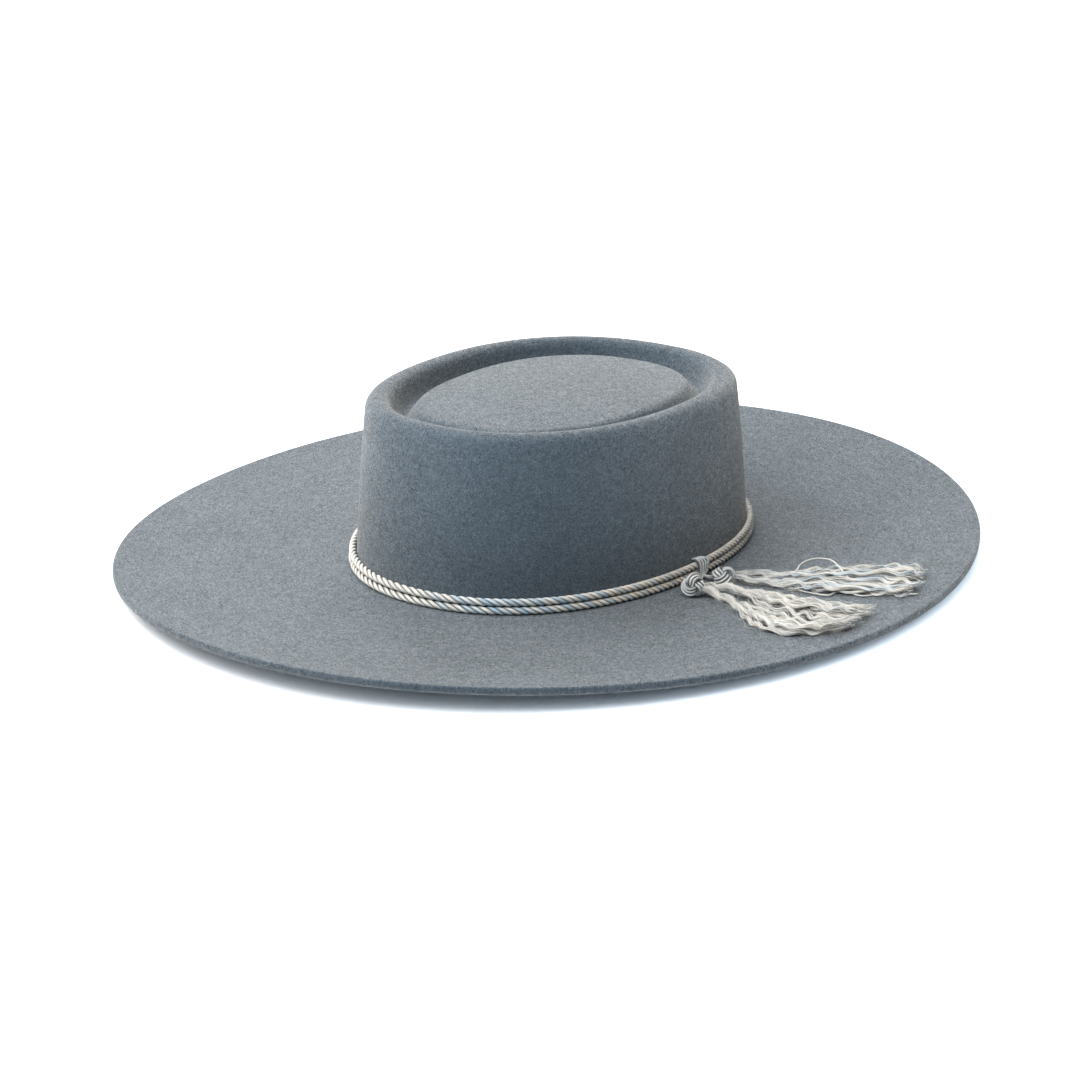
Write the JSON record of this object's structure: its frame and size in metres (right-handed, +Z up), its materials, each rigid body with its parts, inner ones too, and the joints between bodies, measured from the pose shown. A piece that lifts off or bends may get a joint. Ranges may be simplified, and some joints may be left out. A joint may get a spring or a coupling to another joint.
{
  "type": "huaso hat",
  "caption": "Wide-brimmed felt hat with an oval flat telescope crown, raw-edged brim, and a twisted cord band knotted at the wearer's left with yarn tassels.",
  "frame": {"origin": "centre of the overall box, on the surface that the brim rests on", "axes": "+Z up; the hat's front is -Y and its long axis lies along Y; +X is the wearer's left, where the cord is knotted"},
  "size_m": [0.392, 0.438, 0.0831],
  "materials": {
    "felt": "slate blue-grey fur felt with a short, mottled, velvety nap",
    "cord": "three-strand twisted rayon cord, off-white with pale blue and beige strands, silky",
    "knot_cord": "the same cord loosened in the knots, pale blue and white, glossy yarns side by side",
    "tassel_yarn": "untwisted, crimped rayon yarns, warm off-white with pale blue, fine fibres at the cut ends"
  },
  "bodies": {
    "root": {"felt_body": "felt", "hat_cord": "cord", "band_knot": "knot_cord", "front_stopper_knot": "knot_cord", "rear_stopper_knot": "knot_cord", "front_tassel": "tassel_yarn", "rear_tassel": "tassel_yarn"}
  },
  "joints": []
}
